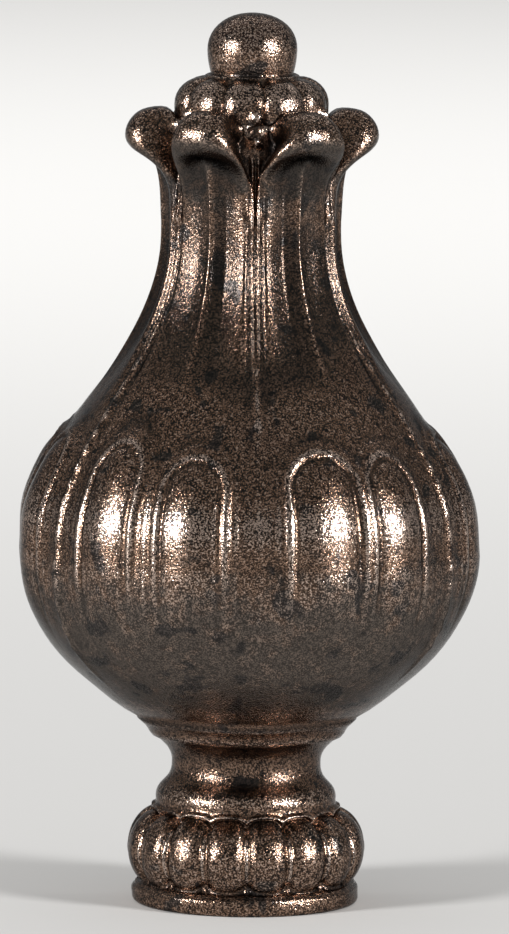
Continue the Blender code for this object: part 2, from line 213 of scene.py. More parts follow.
lobes = {
    # in arch widths: how far the swelling reaches, and the place and half width of the groove round it
    "swell": 0.6, "swellReach": 0.86, "roundness": 0.62,
    "groove": 0.13, "groovePlace": 0.84, "grooveHalf": 0.07,
    "beadSwell": 0.38, "beadWidth": 1.0,
    "beadLow": 0.45, "beadFade": (-4, 2),  # its share below, and where it fades to that, over the waist
    "archFoot": 0.28, "archRise": 0.09,  # shares of the shoulder
    "outerLine": 0.09, "outerLineWidth": 0.42, "outerLinePlace": 0.8,
    "pairRidge": 0.15, "pairRidgeWidth": 0.5,
    "reliefFoot": 0.4, "reliefFull": 1.5,  # from this share of the lower bulb up to this over the waist
    # both lobes of each leaf from +X round, as this casting came out: degrees from the leaf's middle
    # to the lobe's, half its width in degrees, and how much its arch is raised in mm
    "places": [[(-12, 8.4, 0), (12.2, 8.3, -0.2)], [(-11.8, 8.5, -0.1), (12, 8.4, 0)],
               [(-12.1, 8.3, 0), (11.9, 8.6, -0.3)], [(-12, 8.5, -0.2), (12.1, 8.3, 0)],
               [(-12.4, 8.2, 0), (12.3, 8.9, -0.7)], [(-12, 10, -0.35), (9.4, 8.3, -0.75)]],
}

leaves = {
    # across a leaf, from the seam to its middle: share of the way, height in mm
    "section": [(0, -0.06), (0.07, -0.14), (0.115, -0.1), (0.165, 0.12), (0.22, 0.22), (0.3, 0.15),
                (0.42, -0.02), (0.54, -0.18), (0.68, -0.3), (0.8, -0.16), (0.9, -0.02), (0.95, 0.12),
                (1, 0.24)],
    "plainSection": [(0, -0.06), (0.07, -0.14), (0.115, -0.1), (0.165, 0.12), (0.22, 0.2), (0.36, 0.17),
                     (0.6, 0.1), (0.84, 0.07), (0.92, 0.1), (1, 0.24)],
    # how far each half of each leaf is fluted, from +X round
    "fluted": [(1, 1), (1, 0.85), (0.9, 1), (1, 0.9), (0.3, 1.05), (1.1, 0.1)],
    "reliefFade": (0.42, 0.78),  # shares of the shoulder between which the section comes up
    "reach": 9.05, "crownHeight": 8.2, "dome": 3.0, "seamDepth": 0.15, "notchFoot": 0.2, "notchTop": 0.88,
}

# the fine line along each seam, from the bulb to the bud in the notch: beaded over the shoulder and
# in two beside each other up the neck, with heights from the underside
stem = {"swell": 0.34, "width": 0.56, "bead": 1.15, "beading": 0.45, "low": 15.5, "full": 21,
        "split": (38.5, 41.5), "apart": 0.22, "narrow": 0.28, "pairBeading": 0.3,
        # how much of it is left on the bulb at each seam, from 30 degrees round
        "onBulb": [0.9, 0.12, 0.9, 0.9, 0.12, 0.9], "bulbTop": (34, 36),
        "end": (5.5, 4.5)}  # where it fades out in the notch, over the neck


def bodyRadius(height):
    # the plain bulb below its waist and the shoulder and neck above it, each by its own curve
    lower = np.clip((height - bulbFoot) / bulb["lowerHeight"], 0, 1)
    upper = np.clip((height - bulbWaist) / bulb["shoulderHeight"], 0, 1)
    swelling = bulb["radius"] - bulb["seatRadius"]
    below = bulb["seatRadius"] + swelling * smoothCurve(lower, bulb["curve"])
    narrowing = bulb["radius"] - bulb["neckRadius"]
    above = bulb["neckRadius"] + narrowing * smoothCurve(upper, bulb["shoulderCurve"])
    return np.where(height < bulbWaist, below, above)


def lobeRelief(angle, height):
    # an arched lobe either side of each leaf's middle: a swelling, a groove and a bead around it, all
    # functions of the distance from the arch's middle in arch widths; fine ridges run between
    radius = bodyRadius(height)
    middle = fromMiddle(angle)
    leaf = leafOf(angle)
    archFoot = bulbWaist + lobes["archFoot"] * bulb["shoulderHeight"]
    archRise = lobes["archRise"] * bulb["shoulderHeight"]
    relief = lobes["pairRidge"] * bell(np.radians(middle) * radius, 0, lobes["pairRidgeWidth"] / 2)
    relief = relief * fade(height, archFoot + archRise, archFoot - archRise)
    for side in (0, 1):
        place, half, raised = np.moveaxis(np.array(lobes["places"])[leaf, side], -1, 0)
        out = np.hypot((middle - place) / half, np.maximum(0, height - archFoot - raised) / archRise)
        archWidth = radius * np.radians(half)
        high = fade(height - bulbWaist, *lobes["beadFade"])
        bead = lobes["beadSwell"] * (lobes["beadLow"] + (1 - lobes["beadLow"]) * high)
        relief = relief + bead * bell(out, 1, lobes["beadWidth"] / 2 / archWidth)
        outside = bell((out - 1) * archWidth, lobes["outerLinePlace"], lobes["outerLineWidth"] / 2)
        relief = relief + lobes["outerLine"] * outside
        swelling = np.clip(1 - (out / lobes["swellReach"]) ** 2, 0, 1) ** lobes["roundness"]
        relief = relief + lobes["swell"] * swelling
        relief = relief - lobes["groove"] * bell(out, lobes["groovePlace"], lobes["grooveHalf"])
    reliefFoot = bulbFoot + lobes["reliefFoot"] * bulb["lowerHeight"]
    return relief * fade(height, reliefFoot, bulbWaist + lobes["reliefFull"])


def leafRelief(angle, height):
    # the leaf's section carried up the neck: at the seam a trough, then an edge that stands proud, a
    # slope down from it to a flute, and a narrow midrib; some halves came out nearly without the flute
    middle = fromMiddle(angle)
    share = np.clip(1 - np.abs(middle) / leafHalf, 0, 1)
    leaf = leafOf(angle)
    fluted = np.array(leaves["fluted"])[leaf, (middle > 0).astype(int)]
    plain = smoothCurve(share, leaves["plainSection"])
    section = plain + (smoothCurve(share, leaves["section"]) - plain) * fluted
    return section * fade((height - bulbWaist) / bulb["shoulderHeight"], *leaves["reliefFade"])


def stemRelief(angle, height):
    # one fine ridge that swells and shrinks like a string of beads, or two plain ones side by side
    toSeam = bodyRadius(height) * np.radians(leafHalf - np.abs(fromMiddle(angle)))
    beads = 1 - stem["beading"] * (1 - np.cos(2 * math.pi * height / stem["bead"])) / 2
    split = fade(height, *stem["split"])
    one = bell(toSeam, 0, stem["width"] / 2) * beads * (1 - split)
    two = bell(toSeam, stem["apart"], stem["narrow"] / 2) * split
    two = two * (1 - stem["pairBeading"] + stem["pairBeading"] * beads)
    seam = (angle // (2 * leafHalf)).astype(int) % leafCount
    kept = np.array(stem["onBulb"])[seam]
    kept = kept + (1 - kept) * fade(height, *stem["bulbTop"])
    return stem["swell"] * (one + two) * fade(height, stem["low"], stem["full"]) * kept


def bulbAndNeck():
    # the plain body with its relief moved along the normal of its profile; the rows are closest where
    # the arches end
    share = column(*np.linspace(0, 0.95, 18))
    low = bulbFoot + share * bulb["lowerHeight"]
    share = column(*np.linspace(0, 0.22, 8), *np.linspace(0.24, 0.41, 17), *np.linspace(0.435, 1, 20))
    height = np.vstack([low, bulbWaist + share * bulb["shoulderHeight"]])
    step = 0.1  # mm either way, for the slope
    slope = (bodyRadius(height + step) - bodyRadius(height - step)) / (2 * step)
    slope[0] = slope[1]
    out = 1 / np.hypot(1, slope)
    relief = lobeRelief(evenAngles, height) + leafRelief(evenAngles, height)
    relief = relief + stemRelief(evenAngles, height)
    return band(evenAngles, bodyRadius(height) + relief * out, height - relief * slope * out)


collar = {"radius": 5.54, "height": 2.65, "sink": 0.4, "count": 10, "groove": 0.42, "turn": -9.75,
          "sharpness": 3.4,
          "middle": 0.27,  # share of its height where it is widest
          "innerShare": 1.2,  # where its round starts, as a share of the ball's foot
          "undercut": 0.1}
ball = {"radius": 3.2, "footRadius": 2.9, "drop": 1.9, "rise": 2.65, "flatness": 0.9,
        # the lip under it, from outside in: radius over the foot's, height over the collar
        "lip": [(0.52, -0.02), (0.46, 0.12), (0.3, 0.2), (0.14, 0.1)]}
crownTop = neckTop + leaves["crownHeight"]
collarFoot = crownTop - collar["sink"]
collarTop = collarFoot + collar["height"]
ballWaist = collarTop + ball["drop"]
finialTop = ballWaist + ball["rise"]

# a leaf's end, from the neck to the collar: share of its reach, share of the crown's height, the
# angle from its middle to its side, and how far the grid is gathered at its sides
leafEnd = [(0.05, 0.26, 29, 0.3), (0.21, 0.41, 27.6, 0.6), (0.53, 0.525, 25.6, 0.9), (0.84, 0.64, 23.2, 1),
           (1, 0.768, 20.8, 1), (0.91, 0.895, 18.4, 1), (0.57, 0.982, 17, 0.8), (-0.02, 1, 19, 0.4)]
# how deep each of these stations is hollowed in the leaf's middle and how far it is raised there, mm
leafSpoon = [(0, 0.4), (0.1, 0.65), (0.5, 0.4), (0.15, -0.05), (0, -0.25), (0, -0.15), (0, 0), (0, 0)]
# how the grid is gathered on a leaf's end: the share of its columns that lie on the leaf, how much
# closer they stand at its sides, and its widest in shares of its sixth; then the stations between
# which the widths at its top take over, the one where the neck's section has run out, and the half
# width of the hollow
gather = {"onLeaf": 0.8, "toSides": 0.6, "widest": 0.98, "topStations": (3.5, 5.5), "sectionEnd": 3,
          "spoonHalf": 0.55}
# how each leaf of this casting came out, from +X round: width shares of its first half where it is
# widest and at its top, the same of its other half, and its rise in mm
leafUneven = [(1, 1, 1, 1, 0), (0.97, 1, 1.03, 1, 0.1), (1.03, 1, 0.96, 1, 0.05), (1, 1, 0.97, 1, 0),
              (1.06, 1.06, 1.02, 0.97, 0.35), (1.12, 0.88, 1.28, 1.25, 0.25)]


def leafEnds():
    # each leaf's end is a dome across its width, the root of one less the distance from its middle
    # cubed, and it follows the stations of leafEnd; a cubic through the stations makes the rows
    inLeaf = np.arange(columns) % (columns // leafCount) * columnStep / leafHalf - 1
    leaf = np.arange(columns) // (columns // leafCount)
    *widths, rise = np.array(leafUneven)[leaf].T
    aside, side = np.abs(inLeaf), np.sign(inLeaf)
    wide = np.where(side < 0, widths[0], widths[2])
    wideTop = np.where(side < 0, widths[1], widths[3])
    seat = collar["radius"] - 0.5 * collar["groove"]
    angles = [evenAngles[0]]
    top = np.array([[neckTop]])
    radii = [(bulb["neckRadius"] + leafRelief(evenAngles, top) + stemRelief(evenAngles, top))[0]]
    heights = [np.full(columns, neckTop)]
    for number, (reach, up, half, gathered) in enumerate(leafEnd):
        share = (number + 1) / (len(leafEnd) + 1)
        width = wide + (wideTop - wide) * fade(number, *gather["topStations"])
        own = np.minimum(half * (1 + (width - 1) * gathered), gather["widest"] * leafHalf)
        onDome = (1 - gathered) * own / leafHalf + gathered * gather["onLeaf"]
        inside = np.minimum(aside / onDome, 1)
        across = 1 - (1 - inside) ** (1 + gather["toSides"] * gathered)
        past = np.clip((aside - onDome) / (1 - onDome), 0, 1)
        angle = side * np.where(past > 0, own + (leafHalf - own) * past, own * across)
        dome = np.where(past > 0, 0, np.clip(1 - across ** leaves["dome"], 0, 1) ** 0.5)
        leafRadius = bulb["neckRadius"] + (leaves["reach"] - bulb["neckRadius"]) * reach
        notchRadius = bulb["neckRadius"] - leaves["seamDepth"] * (1 - share)
        notchRadius = notchRadius + (seat - bulb["neckRadius"]) * share
        notchRise = leaves["notchFoot"] + (leaves["notchTop"] - leaves["notchFoot"]) * share
        flat = (leaf * 2 * leafHalf) + angle
        section = leafRelief(flat[None, :], top)[0] * (1 - fade(number, 0, gather["sectionEnd"]))
        spoon, lift = np.array(leafSpoon[number])[:, None] * bell(across, 0, gather["spoonHalf"])
        radii.append(notchRadius + (leafRadius - notchRadius) * dome + (section - spoon) * dome)
        raised = leaves["crownHeight"] * (notchRise + (up - notchRise) * dome)
        heights.append(neckTop + raised + (rise * gathered + lift) * dome)
        angles.append(flat)
    angles.append(evenAngles[0])
    radii.append(np.full(columns, seat))
    heights.append(np.full(columns, neckTop + leaves["notchTop"] * leaves["crownHeight"]))
    angle, radius, height = [through(np.array(part), 35) for part in (angles, radii, heights)]
    radius = radius + stemRelief(angle, height) * fade(height - neckTop, *stem["end"])
    return band(angle, radius, height)


def through(stations, count):
    # rows of a cubic spline through the stations, even in their number
    place = np.linspace(0, len(stations) - 1, count + 2)[1:-1]
    i = np.minimum(place.astype(int), len(stations) - 2)
    t = (place - i)[:, None]
    before, after = np.maximum(i - 1, 0), np.minimum(i + 2, len(stations) - 1)
    startSlope = (stations[i + 1] - stations[before]) / (i + 1 - before)[:, None]
    endSlope = (stations[after] - stations[i]) / (after - i)[:, None]
    start = (1 + 2 * t) * (1 - t) ** 2 * stations[i] + t * (1 - t) ** 2 * startSlope
    return start + t * t * (3 - 2 * t) * stations[i + 1] + t * t * (t - 1) * endSlope


def collarLobes():
    # a ring of round lobes: nearly upright below their widest, a quarter round above it to the ball
    lobe = pillow(evenAngles, collar["turn"], collar["count"], collar["sharpness"])
    groove = collar["groove"] * (1 - lobe)
    inner = collar["innerShare"] * ball["footRadius"]
    middle = collarFoot + collar["middle"] * collar["height"]
    tilt = np.radians(column(*np.linspace(-72, 80, 14)))
    up = np.sin(tilt)
    out = np.where(up > 0, np.cos(tilt), 1 - collar["undercut"] * (1 - np.cos(tilt)))
    below = middle - neckTop - leaves["notchTop"] * leaves["crownHeight"]
    reach = np.where(up > 0, collarTop - middle - groove, below)
    return band(evenAngles, inner + (collar["radius"] - inner - groove) * out, middle + reach * up)


def topBall():
    # a fine lip, an ellipse below the widest, and a flatter one above it up to the pole
    drop, radius = ball["drop"], ball["radius"]
    below = drop / math.sqrt(1 - (ball["footRadius"] / radius) ** 2)
    down = column(0.95, 0.8, 0.6, 0.4, 0.2) * drop
    aside, over = np.array(ball["lip"]).T[:, :, None]
    lip = band(evenAngles, ball["footRadius"] + aside, collarTop + over)
    lower = band(evenAngles, radius * np.sqrt(1 - (down / below) ** 2), ballWaist - down)
    tilt = np.radians(column(*np.linspace(0, 84, 11)))
    upper = band(evenAngles, radius * np.cos(tilt) ** ball["flatness"],
                 ballWaist + ball["rise"] * np.sin(tilt))
    return [np.vstack(parts) for parts in zip(lip, lower, upper)]


# height and middle length of the waves, and how much longer or shorter each is; then where they come
# up over the flat underside, and where they end under the very top
uneven = {"swell": 0.045, "waves": 9, "length": 9.0, "spread": (0.6, 1.8), "seed": 7,
          "footFree": (0.6, 2.2), "topFree": (-0.1, -1.5)}


def handFinish(points):
    # the slight unevenness of a polished sand casting: a few long waves, summed, as shares of one
    rng = np.random.default_rng(uneven["seed"])
    total = np.zeros(points.shape[:-1])
    for _ in range(uneven["waves"]):
        way = rng.normal(size=3)
        way *= 2 * math.pi / uneven["length"] / np.linalg.norm(way) * rng.uniform(*uneven["spread"])
        total += np.sin(points @ way + rng.uniform(0, 2 * math.pi))
    return total / math.sqrt(uneven["waves"])


def blurred(grid, rounds):
    # each point moved to the mean of its neighbours, over and over; the columns close on themselves
    for _ in range(rounds):
        grid = (np.roll(grid, 1, 1) + 2 * grid + np.roll(grid, -1, 1)) / 4
        padded = np.concatenate([grid[:1], grid, grid[-1:]])
        grid = (padded[:-2] + 2 * grid + padded[2:]) / 4
    return grid


def gridNormals(grid):
    # the cross product of the step round and the step up, of length one
    around = np.roll(grid, -1, 1) - np.roll(grid, 1, 1)
    up = np.gradient(grid, axis=0)
    normal = np.cross(around, up)
    return normal / np.maximum(np.linalg.norm(normal, axis=2, keepdims=True), 1e-9)


# the small bud in each notch: how far aside of the seam, height, size and swell of its lumps
bud = [(0.05, 55.2, 0.42, 0.75), (0.7, 56.0, 0.42, 0.7), (-0.75, 56.1, 0.42, 0.65),
       (0.1, 56.9, 0.45, 0.6)]
notchRadius = 5.65

# what the finish reads from the shape, painted highlights and a painted light from above included: over how
# many rounds of blurring a point is compared with what is round it, and between which heights in mm, or
# which tilts, each value fades
wearAndPaintedLight = {
    "ridgeRounds": 8, "edgeRounds": 2, "hollowRounds": 26, "facingRounds": 20,
    "ridgeInHollow": 3.5,
    "facingTilt": (-0.5, 0.4),  # the normal's rise
    "footFacing": (2.5, -0.5), "footHollow": (-1, 1), "footHollowShare": 0.35,  # over the bulb's foot
    "edgeFoot": (1.6, 2.1),
    # where the painted highlights lie: the lip under the ball and the gadroons' fillets
    "lipHeight": 0.14, "lipHalf": 0.12,  # over the collar
    "filletHalf": 0.45,  # share of the gadroons' height
    # how far the painted highlights count in the hollow and edge values
    "paintedHighlightInHollow": 0.9, "paintedHighlightInEdge": 0.055,
}


def budRelief(points):
    # round lumps: a bell of the distance from each one's middle
    total = np.zeros(points.shape[:-1])
    for notch in range(leafCount):
        for aside, height, size, swell in bud:
            turn = math.radians(leafHalf + notch * 2 * leafHalf) + aside / notchRadius
            middle = np.array([notchRadius * math.cos(turn), notchRadius * math.sin(turn), height])
            total += swell * np.exp(-((points - middle) ** 2).sum(axis=2) / size ** 2)
    return total


def wearAndPaintedLightOf(grid, normals, height, lumps):
    # a point's height over its blurred surroundings along its normal, three times over for fine edges,
    # ridges and broad hollows, and how far the surface faces up; the painted highlights on the buds, the
    # lip and the fillets are added to the hollow, edge and facing values
    def over(rounds):
        return ((grid - blurred(grid, rounds)) * normals).sum(axis=2)

    ridge = over(wearAndPaintedLight["ridgeRounds"])
    # how far the surface faces up, which the finish partly paints as light from above
    facing = fade(gridNormals(blurred(grid, wearAndPaintedLight["facingRounds"]))[:, :, 2], *wearAndPaintedLight["facingTilt"])
    facing = np.maximum(facing, fade(height - bulbFoot, *wearAndPaintedLight["footFacing"]))
    hollow = over(wearAndPaintedLight["hollowRounds"]) + wearAndPaintedLight["ridgeInHollow"] * ridge
    share = wearAndPaintedLight["footHollowShare"]  # the foot came out cleaner
    hollow = hollow * (share + (1 - share) * fade(height - bulbFoot, *wearAndPaintedLight["footHollow"]))
    edge = over(wearAndPaintedLight["edgeRounds"]) * fade(height, *wearAndPaintedLight["edgeFoot"])
    # painted highlights: the buds, the lip under the ball and the gadroons' fillets are made lighter, deep
    # as they lie
    gadroonMiddle = (gadroonFoot + gadroonTop) / 2
    onFoot = bell(height, gadroonMiddle, wearAndPaintedLight["filletHalf"] * foot["gadroonHeight"])
    paintedHighlight = lumps + bell(height, collarTop + wearAndPaintedLight["lipHeight"], wearAndPaintedLight["lipHalf"])
    paintedHighlight = paintedHighlight + gadroonFillets() * onFoot
    return {"ridge": ridge, "hollow": hollow + wearAndPaintedLight["paintedHighlightInHollow"] * paintedHighlight,
            "edge": edge + wearAndPaintedLight["paintedHighlightInEdge"] * paintedHighlight, "facing": np.maximum(facing, np.minimum(paintedHighlight, 1))}


def makeCasting():
    blocks = [underside(), footFlange(), gadroons(), footProfile(), bulbAndNeck(), leafEnds(),
              collarLobes(), topBall()]
    angle, radius, height = (np.vstack(part) for part in zip(*blocks))
    turn = np.radians(angle)
    grid = np.stack([radius * np.cos(turn), radius * np.sin(turn), height], axis=2)
    normals = gridNormals(grid)
    free = fade(height, *uneven["footFree"]) * fade(height - finialTop, *uneven["topFree"])
    outside = np.arange(len(grid))[:, None] >= len(blocks[0][0])
    grid = grid + normals * (handFinish(grid) * uneven["swell"] * free * outside)[..., None]
    lumps = budRelief(grid)
    grid = grid + normals * lumps[..., None]
    rows = len(grid)
    points = np.concatenate([grid.reshape(-1, 3), [[0, 0, socket["depth"] + socket["drillPoint"]]],
                             [[0, 0, finialTop]]])
    first = np.arange(rows - 1)[:, None] * columns + np.arange(columns)[None, :]
    second = np.arange(rows - 1)[:, None] * columns + (np.arange(columns)[None, :] + 1) % columns
    quads = np.stack([first, second, second + columns, first + columns], axis=2).reshape(-1, 4)
    ring = np.arange(columns)
    nextRing = (ring + 1) % columns
    lowFan = np.stack([nextRing, ring, np.full(columns, rows * columns)], axis=1)
    top = (rows - 1) * columns
    highFan = np.stack([top + ring, top + nextRing, np.full(columns, rows * columns + 1)], axis=1)
    mesh = bpy.data.meshes.new("finialCasting")
    mesh.from_pydata((points * mm).tolist(), [], quads.tolist() + lowFan.tolist() + highFan.tolist())
    mesh.shade_smooth()
    for name, values in wearAndPaintedLightOf(grid, normals, height, lumps).items():
        flat = np.append(values.reshape(-1), [0, 0]).astype(np.float32)
        mesh.attributes.new(name, "FLOAT", "POINT").data.foreach_set("value", flat)
    piece = bpy.data.objects.new("finialCasting", mesh)
    bpy.context.scene.collection.objects.link(piece)
    print("casting:", rows, "rows,", 2 * len(quads) + 2 * columns, "triangles")
    return piece


def linear(hexColor):
    # sRGB hex to the linear colour that shaders take
    parts = [int(hexColor[i:i + 2], 16) / 255 for i in (1, 3, 5)]
    return tuple(c / 12.92 if c <= 0.04045 else ((c + 0.055) / 1.055) ** 2.4 for c in parts) + (1,)


def addNode(tree, kind, settings=None, links=None, values=None):
    # one shader node, with its properties, its socket values and the sockets that feed it
    node = tree.nodes.new(kind)
    for name, value in (settings or {}).items():
        setattr(node, name, value)
    for name, value in (values or {}).items():
        node.inputs[name].default_value = value
    for name, source in (links or {}).items():
        tree.links.new(source, node.inputs[name])
    return node


bronze = {
    # "edge" tints the metal's reflection at a grazing angle
    # the bare colour also paints the highlights of the sharp edges, the buds, the lip and the fillets
    "patina": "#2c2522", "brown": "#745946", "copper": "#a08472", "bareMetalAndHighlight": "#cdb8aa", "grey": "#302e2e",
    "dull": "#5b524b", "dirt": "#0a0807",
    # size in mm, detail, roughness and distortion of each pattern: the rubbed zones, the patches in
    # them, the mottling, the strands that the cloth left, the grey spots and the grain of the lacquer
    "patterns": {"zone": (7.0, 2, 0.5, 0.0), "patch": (1.3, 4, 0.6, 0.3), "mottle": (0.4, 3, 0.6, 0.0),
                 "strand": (0.6, 1, 0.5, 0.6), "spot": (2.2, 2, 0.5, 0.2), "grain": (0.12, 1, 0.6, 0.0)},
    # how far one pattern or attribute counts beside the one it is added to
    "zoneInPatch": 0.35, "facingInPaintedTopLight": 0.32, "patchInWiped": 1.6, "grainInFine": 3.2,
    "ridgeInRubbed": 4.0, "facingInSpot": -0.05, "fineInBare": 0.067, "mottleInRelief": 0.6,
    # between which values of its pattern each finish comes up, and its least or its most
    "brownAndPaintedTopLight": {"From Min": 0.6, "From Max": 0.92},
    "wiped": {"From Min": 0.7, "From Max": 1.6},
    "speck": {"From Min": 2.05, "From Max": 2.6},
    "rubbed": {"From Min": 0.38, "From Max": 0.85, "To Min": 0.75},
    "reached": {"To Min": 0.06},
    "spotted": {"From Min": 0.57, "From Max": 0.62, "To Max": 0.8},
    "baredAndEdgeHighlight": {"From Min": 0.165, "From Max": 0.21, "To Max": 0.75},
    "strands": {1: 0.5, 2: 0.018},  # the pattern's middle value and how near it counts
    "fineDark": {"From Min": 1.78, "From Max": 2.22, "To Min": 1.0, "To Max": 0.0},
    "darkShare": {"To Min": 0.6, "To Max": 0.94},
    "clean": {"From Min": -0.4, "From Max": -0.02, "To Min": 0.35},
    "polished": {"From Min": 0.3, "From Max": 0.7, "To Min": 0.24, "To Max": 0.15},  # roughness
    "bumpHeight": 0.032,  # mm
    "coat": 0.35, "coatRoughness": 0.15, "edge": "#a0a0a0",
}


def oilRubbedBronzeWithPaintedLight():
    # oil-rubbed bronze under clear lacquer: a plated casting, darkened and rubbed back by hand. To the
    # eye it is nearly black brown, with copper in fine specks and along the high parts, dark in the
    # hollows, and the lacquer gives it small white highlights. Painted highlights lie as bare metal on the
    # sharp edges, the buds, the lip and the fillets, and the brown is painted lighter on what faces up
    material = bpy.data.materials.new("oilRubbedBronzeWithPaintedLight")
    material.use_nodes = True
    tree = material.node_tree
    shader = tree.nodes["Principled BSDF"]
    place = addNode(tree, "ShaderNodeTexCoord").outputs["Object"]
    ridge = addNode(tree, "ShaderNodeAttribute", {"attribute_name": "ridge"}).outputs["Fac"]
    hollow = addNode(tree, "ShaderNodeAttribute", {"attribute_name": "hollow"}).outputs["Fac"]
    edge = addNode(tree, "ShaderNodeAttribute", {"attribute_name": "edge"}).outputs["Fac"]
    facing = addNode(tree, "ShaderNodeAttribute", {"attribute_name": "facing"}).outputs["Fac"]
    pattern = {}
    for name, (size, detail, roughness, distortion) in bronze["patterns"].items():
        node = addNode(tree, "ShaderNodeTexNoise", {}, {"Vector": place},
                       {"Scale": 1 / (size * mm), "Detail": detail, "Roughness": roughness,
                        "Distortion": distortion})
        pattern[name] = node.outputs["Fac"]

    # brown in patches, more of them in the rubbed zones, and more on what faces up as a painted light from
    # above
    zoned = addNode(tree, "ShaderNodeMath", {"operation": "MULTIPLY_ADD"},
                    {0: pattern["zone"], 2: pattern["patch"]}, {1: bronze["zoneInPatch"]})
    patchesAndPaintedTopLight = addNode(tree, "ShaderNodeMath", {"operation": "MULTIPLY_ADD"},
                  {0: facing, 2: zoned.outputs[0]}, {1: bronze["facingInPaintedTopLight"]})
    brownAndPaintedTopLight = addNode(tree, "ShaderNodeMapRange", {"interpolation_type": "SMOOTHSTEP"},
                      {"Value": patchesAndPaintedTopLight.outputs[0]}, bronze["brownAndPaintedTopLight"])
    base = addNode(tree, "ShaderNodeMix", {"data_type": "RGBA"}, {"Factor": brownAndPaintedTopLight.outputs[0]},
                   {6: linear(bronze["patina"]), 7: linear(bronze["brown"])})
    # duller and greyer where it faces down and no cloth reached, with an uneven border
    patchy = addNode(tree, "ShaderNodeMath", {"operation": "MULTIPLY_ADD"},
                     {0: pattern["patch"], 2: facing}, {1: bronze["patchInWiped"]})
    wiped = addNode(tree, "ShaderNodeMapRange", {"interpolation_type": "SMOOTHSTEP"},
                    {"Value": patchy.outputs[0]}, bronze["wiped"])
    base = addNode(tree, "ShaderNodeMix", {"data_type": "RGBA"},
                   {"Factor": wiped.outputs[0], 7: base.outputs[2]}, {6: linear(bronze["dull"])})
    # copper in specks, most on the high parts and few on what faces down
    fine = addNode(tree, "ShaderNodeMath", {"operation": "MULTIPLY_ADD"},
                   {0: pattern["grain"], 2: pattern["mottle"]}, {1: bronze["grainInFine"]})
    speck = addNode(tree, "ShaderNodeMapRange", {"interpolation_type": "SMOOTHSTEP"},
                    {"Value": fine.outputs[0]}, bronze["speck"])
    high = addNode(tree, "ShaderNodeMath", {"operation": "MULTIPLY_ADD"},
                   {0: ridge, 2: pattern["patch"]}, {1: bronze["ridgeInRubbed"]})
    rubbed = addNode(tree, "ShaderNodeMapRange", {"interpolation_type": "SMOOTHSTEP"},
                     {"Value": high.outputs[0]}, bronze["rubbed"])
    reached = addNode(tree, "ShaderNodeMapRange", {}, {"Value": wiped.outputs[0]}, bronze["reached"])
    within = addNode(tree, "ShaderNodeMath", {"operation": "MULTIPLY"},
                     {0: rubbed.outputs[0], 1: reached.outputs[0]})
    coppered = addNode(tree, "ShaderNodeMath", {"operation": "MULTIPLY"},
                       {0: speck.outputs[0], 1: within.outputs[0]})
    base = addNode(tree, "ShaderNodeMix", {"data_type": "RGBA"},
                   {"Factor": coppered.outputs[0], 6: base.outputs[2]}, {7: linear(bronze["copper"])})
    # smooth grey spots where the brown never took, most of them on what faces down
    lowSpot = addNode(tree, "ShaderNodeMath", {"operation": "MULTIPLY_ADD"},
                      {0: facing, 2: pattern["spot"]}, {1: bronze["facingInSpot"]})
    spotted = addNode(tree, "ShaderNodeMapRange", {"interpolation_type": "SMOOTHSTEP"},
                      {"Value": lowSpot.outputs[0]}, bronze["spotted"])
    base = addNode(tree, "ShaderNodeMix", {"data_type": "RGBA"},
                   {"Factor": spotted.outputs[0], 6: base.outputs[2]}, {7: linear(bronze["grey"])})
    # bare metal along the sharp edges, where it is also a painted highlight, and in the brightest grains
    sharp = addNode(tree, "ShaderNodeMath", {"operation": "MULTIPLY_ADD"},
                    {0: fine.outputs[0], 2: edge}, {1: bronze["fineInBare"]})
    baredAndEdgeHighlight = addNode(tree, "ShaderNodeMapRange", {"interpolation_type": "SMOOTHSTEP"},
                    {"Value": sharp.outputs[0]}, bronze["baredAndEdgeHighlight"])
    bareMetalAndHighlight = addNode(tree, "ShaderNodeMath", {"operation": "MULTIPLY"},
                   {0: baredAndEdgeHighlight.outputs[0], 1: reached.outputs[0]})
    base = addNode(tree, "ShaderNodeMix", {"data_type": "RGBA"},
                   {"Factor": bareMetalAndHighlight.outputs[0], 6: base.outputs[2]}, {7: linear(bronze["bareMetalAndHighlight"])})
    # dark strands, where a pattern crosses its middle value, and dark grains, fewest on what faces down
    strands = addNode(tree, "ShaderNodeMath", {"operation": "COMPARE"}, {0: pattern["strand"]},
                      bronze["strands"])
    fineDark = addNode(tree, "ShaderNodeMapRange", {"interpolation_type": "SMOOTHSTEP"},
                       {"Value": fine.outputs[0]}, bronze["fineDark"])
    darkened = addNode(tree, "ShaderNodeMath", {"operation": "MAXIMUM"},
                       {0: strands.outputs[0], 1: fineDark.outputs[0]})
    share = addNode(tree, "ShaderNodeMapRange", {}, {"Value": facing}, bronze["darkShare"])
    share = addNode(tree, "ShaderNodeMath", {"operation": "MULTIPLY"},
                    {0: darkened.outputs[0], 1: share.outputs[0]})
    base = addNode(tree, "ShaderNodeMix", {"data_type": "RGBA"},
                   {"Factor": share.outputs[0], 6: base.outputs[2]}, {7: linear(bronze["dirt"])})
    # dirt left in the hollows, lifted off the buds, lip and fillets by their painted highlights
    clean = addNode(tree, "ShaderNodeMapRange", {"interpolation_type": "SMOOTHSTEP"},
                    {"Value": hollow}, bronze["clean"])
    base = addNode(tree, "ShaderNodeMix", {"data_type": "RGBA"},
                   {"Factor": clean.outputs[0], 7: base.outputs[2]}, {6: linear(bronze["dirt"])})
